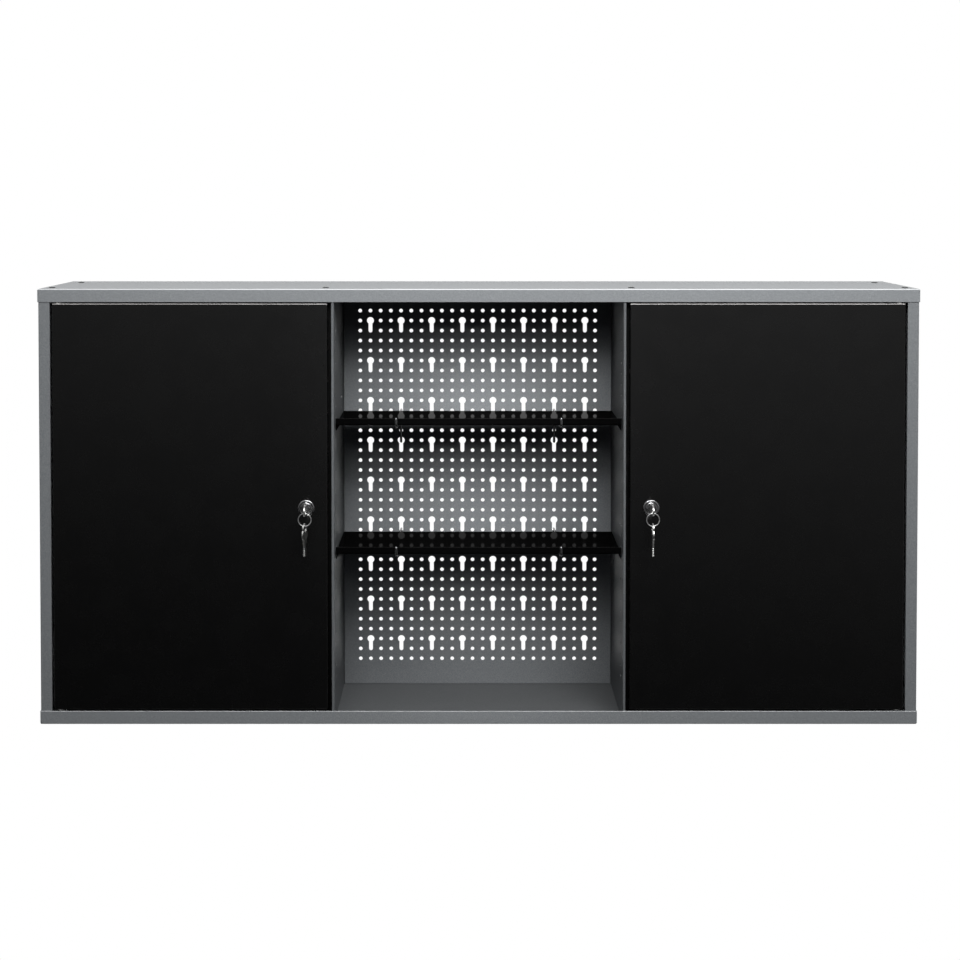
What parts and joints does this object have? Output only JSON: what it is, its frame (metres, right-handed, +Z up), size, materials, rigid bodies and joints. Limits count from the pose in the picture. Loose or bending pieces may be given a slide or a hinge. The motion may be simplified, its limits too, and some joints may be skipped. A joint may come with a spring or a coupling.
{
  "type": "wall tool cabinet",
  "caption": "Wide wall-hung steel tool cabinet with lockable doors beside an open middle bay that has a perforated board and shelves.",
  "frame": {"origin": "middle of the wall-fixing hole pattern, on the wall plane", "axes": "+X to the right seen from the front, +Y into the wall, +Z up"},
  "size_m": [1.2, 0.2317, 0.6008],
  "materials": {
    "carcass_paint": "fine hammered silver-grey powder coat, satin",
    "black_door_paint": "smooth black powder coat, satin gloss",
    "black_gloss_paint": "smooth black powder coat, glossy",
    "zinc_plate": "bright zinc plate",
    "lock_chrome": "bright chrome plate",
    "key_nickel": "nickel plate with fine brushing",
    "bush_nylon": "moulded nylon",
    "buffer_rubber": "matt moulded rubber"
  },
  "bodies": {
    "carcass": {"top_panel": "carcass_paint", "top_panel_edges": "carcass_paint", "bottom_panel": "carcass_paint", "bottom_panel_edges": "carcass_paint", "left_side_panel": "carcass_paint", "left_side_folds": "carcass_paint", "right_side_panel": "carcass_paint", "right_side_folds": "carcass_paint", "left_divider": "carcass_paint", "left_divider_folds": "carcass_paint", "right_divider": "carcass_paint", "right_divider_folds": "carcass_paint", "perforated_board": "carcass_paint", "left_back_panel": "carcass_paint", "right_back_panel": "carcass_paint", "left_shelf_rails": "carcass_paint", "right_shelf_rails": "carcass_paint", "left_shelf_clips": "zinc_plate", "right_shelf_clips": "zinc_plate", "left_upper_inner_shelf": "black_gloss_paint", "left_lower_inner_shelf": "black_gloss_paint", "right_upper_inner_shelf": "black_gloss_paint", "right_lower_inner_shelf": "black_gloss_paint", "upper_shelf": "black_gloss_paint", "lower_shelf": "black_gloss_paint", "upper_shelf_brackets": "zinc_plate", "lower_shelf_brackets": "zinc_plate", "top_screws": "zinc_plate", "bottom_screws": "zinc_plate", "left_back_screws": "zinc_plate", "right_back_screws": "zinc_plate", "left_hinge_brackets": "zinc_plate", "right_hinge_brackets": "zinc_plate", "left_hinge_pins": "zinc_plate", "right_hinge_pins": "zinc_plate", "left_bump_stops": "buffer_rubber", "right_bump_stops": "buffer_rubber"},
    "left_door": {"left_door": "black_door_paint", "left_door_stiffener": "black_door_paint", "left_hinge_bushes": "bush_nylon", "left_lock_barrel": "lock_chrome", "left_lock_nut": "zinc_plate"},
    "left_lock": {"left_lock_plug": "lock_chrome", "left_lock_cam": "zinc_plate", "left_cam_screw": "zinc_plate"},
    "left_key": {"left_key": "key_nickel"},
    "left_key_ring": {"left_key_ring": "key_nickel"},
    "left_spare_key": {"left_spare_key": "key_nickel"},
    "right_door": {"right_door": "black_door_paint", "right_door_stiffener": "black_door_paint", "right_hinge_bushes": "bush_nylon", "right_lock_barrel": "lock_chrome", "right_lock_nut": "zinc_plate"},
    "right_lock": {"right_lock_plug": "lock_chrome", "right_lock_cam": "zinc_plate", "right_cam_screw": "zinc_plate"},
    "right_key": {"right_key": "key_nickel"},
    "right_key_ring": {"right_key_ring": "key_nickel"},
    "right_spare_key": {"right_spare_key": "key_nickel"}
  },
  "joints": [
    {"name": "left_door_hinge", "type": "hinge", "parent": "carcass", "child": "left_door", "pos_m": [-0.5722, -0.1926, 0], "axis": [0, 0, -1], "range_deg": [0, 110]},
    {"name": "left_lock_turn", "type": "hinge", "parent": "left_door", "child": "left_lock", "pos_m": [-0.235, -0.1996, -0.001], "axis": [0, -1, 0], "range_deg": [0, 90]},
    {"name": "left_key_pull", "type": "slide", "parent": "left_lock", "child": "left_key", "axis": [0, -1, 0], "range_m": [0, 0.018]},
    {"name": "left_ring_hang", "type": "hinge", "parent": "left_key", "child": "left_key_ring", "pos_m": [-0.2335, -0.2227, -0.0075], "axis": [0, -1, 0], "range_deg": [-90, 0]},
    {"name": "left_spare_key_swing", "type": "hinge", "parent": "left_key_ring", "child": "left_spare_key", "pos_m": [-0.235, -0.2227, -0.0214], "axis": [1, 0, 0], "range_deg": [-60, 25]},
    {"name": "right_door_hinge", "type": "hinge", "parent": "carcass", "child": "right_door", "pos_m": [0.5722, -0.1926, 0], "axis": [0, 0, 1], "range_deg": [0, 110]},
    {"name": "right_lock_turn", "type": "hinge", "parent": "right_door", "child": "right_lock", "pos_m": [0.235, -0.1996, -0.001], "axis": [0, 1, 0], "range_deg": [0, 90]},
    {"name": "right_key_pull", "type": "slide", "parent": "right_lock", "child": "right_key", "axis": [0, -1, 0], "range_m": [0, 0.018]},
    {"name": "right_ring_hang", "type": "hinge", "parent": "right_key", "child": "right_key_ring", "pos_m": [0.2335, -0.2227, -0.0075], "axis": [0, 1, 0], "range_deg": [-90, 0]},
    {"name": "right_spare_key_swing", "type": "hinge", "parent": "right_key_ring", "child": "right_spare_key", "pos_m": [0.235, -0.2227, -0.0214], "axis": [1, 0, 0], "range_deg": [-60, 25]}
  ],
  "couplings": [
    {"joint": "left_ring_hang", "follows": "left_lock_turn", "ratio": -1},
    {"joint": "right_ring_hang", "follows": "right_lock_turn", "ratio": -1}
  ]
}
